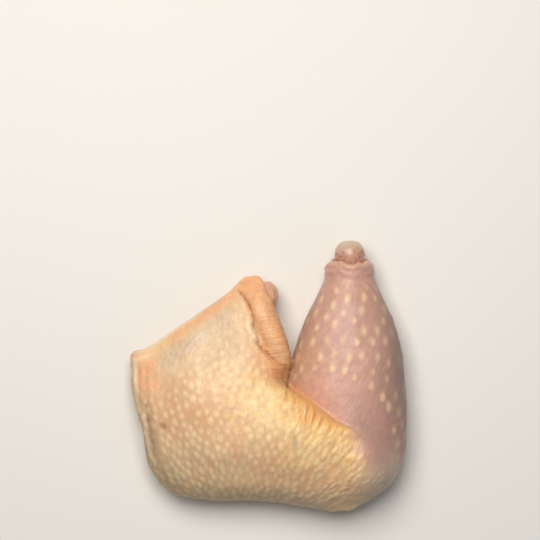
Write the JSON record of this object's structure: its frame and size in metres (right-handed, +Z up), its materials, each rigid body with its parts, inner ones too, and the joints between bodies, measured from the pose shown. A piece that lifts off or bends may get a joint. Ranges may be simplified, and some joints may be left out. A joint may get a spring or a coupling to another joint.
{
  "type": "raw chicken leg quarter",
  "caption": "Bent leg of poultry, skin side up: a broad domed thigh with a cut edge and a rolled flap, folded over a tapering drumstick that ends in a bare joint.",
  "frame": {"origin": "on the resting face, under the middle of the part's box", "axes": "+X from the thigh's outer side to the drumstick, +Y along the drumstick from the knee to its joint end, +Z up from the board through the skin side"},
  "size_m": [0.1346, 0.1328, 0.0394],
  "materials": {
    "leg_skin": "moist, bumpy and slightly see-through, cream to peach",
    "raw_meat": "wet, smooth, pink with pale streaks",
    "joint_cartilage": "wet, smooth, bluish white"
  },
  "bodies": {
    "root": {"leg_quarter": "leg_skin"}
  },
  "joints": []
}
